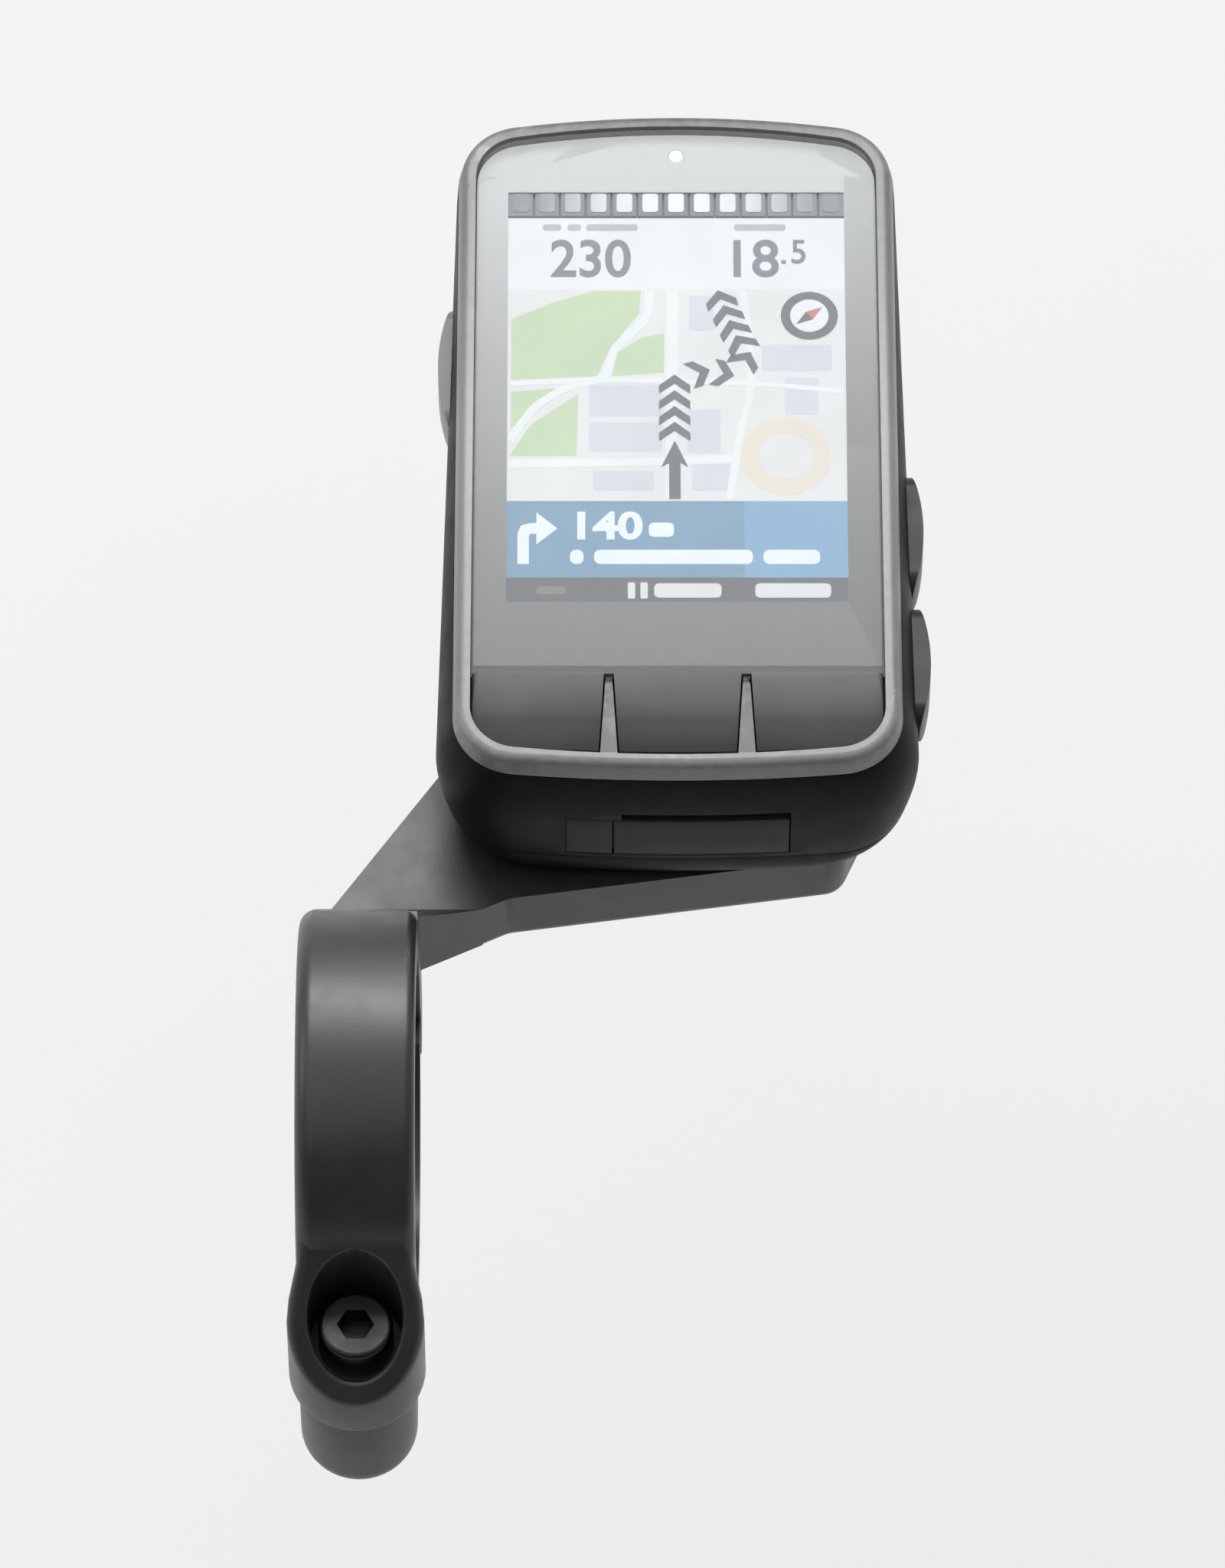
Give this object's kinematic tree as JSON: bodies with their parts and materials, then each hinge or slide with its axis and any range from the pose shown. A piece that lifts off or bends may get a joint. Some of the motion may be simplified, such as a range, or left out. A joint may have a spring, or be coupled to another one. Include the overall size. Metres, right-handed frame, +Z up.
{
  "type": "cycling computer",
  "caption": "Bicycle computer with a colour screen, keys below it and buttons on its sides, on an out-front mount with a hinged handlebar clamp.",
  "frame": {"origin": "centre of the handlebar clamp, on the bar's axis", "axes": "+X along the bar to the rider's right, +Y forward away from the rider, +Z up out of the display"},
  "size_m": [0.0605, 0.1325, 0.041],
  "materials": {
    "case_plastic": "fine satin texture",
    "rim_plastic": "satin grey paint",
    "key_plastic": "satin",
    "lens_glass": "polished",
    "lens_mask": "printed border behind the glass",
    "display": "reflective colour display",
    "light_guide": "milky",
    "magnesium": "die cast",
    "flex_film": "amber film",
    "circuit_board": "solder mask",
    "sensor_white": "clear moulding",
    "silicone": "matt",
    "screw_steel": "dark plated",
    "spring_steel": "bright",
    "component_plastic": "moulded",
    "ceramic": "fired ceramic",
    "vent_film": "porous film",
    "battery_foil": "foil pouch",
    "foam": "closed-cell foam",
    "cable": "insulated",
    "mount_plastic": "glass-filled plastic, satin",
    "socket_plastic": "hard smooth plastic"
  },
  "bodies": {
    "mount": {"mount_arm": "mount_plastic", "socket_insert": "socket_plastic", "insert_screws": "screw_steel", "hinge_pin": "screw_steel"},
    "clamp_jaw": {"clamp_jaw": "mount_plastic", "clamp_nut": "screw_steel"},
    "clamp_bolt": {"clamp_bolt": "screw_steel"},
    "head": {"front_frame": "rim_plastic", "main_case": "case_plastic", "rear_cover": "case_plastic", "case_gasket": "silicone", "case_screws": "screw_steel", "cover_lens": "lens_glass", "lens_mask": "lens_mask", "lens_gasket": "silicone", "lcd_panel": "display", "backlight_unit": "light_guide", "display_chassis": "magnesium", "display_flex": "flex_film", "led_light_bar": "light_guide", "led_board": "circuit_board", "light_sensor": "sensor_white", "key_membrane": "silicone", "key_board": "circuit_board", "key_domes": "spring_steel", "button_seals": "silicone", "side_switches": "component_plastic", "main_board": "circuit_board", "board_chips": "component_plastic", "shield_can": "spring_steel", "gnss_antenna": "ceramic", "wireless_antenna": "ceramic", "pressure_sensor": "component_plastic", "vent_membrane": "vent_film", "buzzer": "component_plastic", "battery": "battery_foil", "battery_pad": "foam", "battery_plug": "component_plastic", "battery_cable": "cable", "usb_connector": "spring_steel", "usb_cover_anchor": "silicone"},
    "usb_cover": {"usb_cover": "silicone"},
    "front_key_left": {"front_key_left": "key_plastic"},
    "front_key_centre": {"front_key_centre": "key_plastic"},
    "front_key_right": {"front_key_right": "key_plastic"},
    "power_button": {"power_button": "key_plastic"},
    "up_button": {"up_button": "key_plastic"},
    "down_button": {"down_button": "key_plastic"}
  },
  "joints": [
    {"name": "twist_lock", "type": "hinge", "parent": "mount", "child": "head", "pos_m": [0.03, 0.065, 0], "axis": [0, 0, 1], "range_deg": [0, 90]},
    {"name": "jaw_hinge", "type": "hinge", "parent": "mount", "child": "clamp_jaw", "pos_m": [0, 0.019, -0.014], "axis": [1, 0, 0], "range_deg": [0, 75]},
    {"name": "bolt_slide", "type": "slide", "parent": "mount", "child": "clamp_bolt", "axis": [0, 0, 1], "range_m": [0, 0.0301]},
    {"name": "key_left_press", "type": "slide", "parent": "head", "child": "front_key_left", "axis": [0, 0, -1], "range_m": [0, 0.0004], "stiffness_N_per_m": 20, "springref_m": -0.001},
    {"name": "key_centre_press", "type": "slide", "parent": "head", "child": "front_key_centre", "axis": [0, 0, -1], "range_m": [0, 0.0004], "stiffness_N_per_m": 20, "springref_m": -0.001},
    {"name": "key_right_press", "type": "slide", "parent": "head", "child": "front_key_right", "axis": [0, 0, -1], "range_m": [0, 0.0004], "stiffness_N_per_m": 20, "springref_m": -0.001},
    {"name": "power_button_press", "type": "slide", "parent": "head", "child": "power_button", "axis": [1, 0, 0], "range_m": [0, 0.0004], "stiffness_N_per_m": 20, "springref_m": -0.001},
    {"name": "up_button_press", "type": "slide", "parent": "head", "child": "up_button", "axis": [-1, 0, 0], "range_m": [0, 0.0004], "stiffness_N_per_m": 20, "springref_m": -0.001},
    {"name": "down_button_press", "type": "slide", "parent": "head", "child": "down_button", "axis": [-1, 0, 0], "range_m": [0, 0.0004], "stiffness_N_per_m": 20, "springref_m": -0.001},
    {"name": "usb_cover_hinge", "type": "hinge", "parent": "head", "child": "usb_cover", "pos_m": [0.0239, 0.0265, 0.0073], "axis": [0, 0, 1], "range_deg": [-120, 0]}
  ],
  "couplings": [
    {"joint": "bolt_slide", "follows": "jaw_hinge", "m_per_rad": 0.022918}
  ]
}
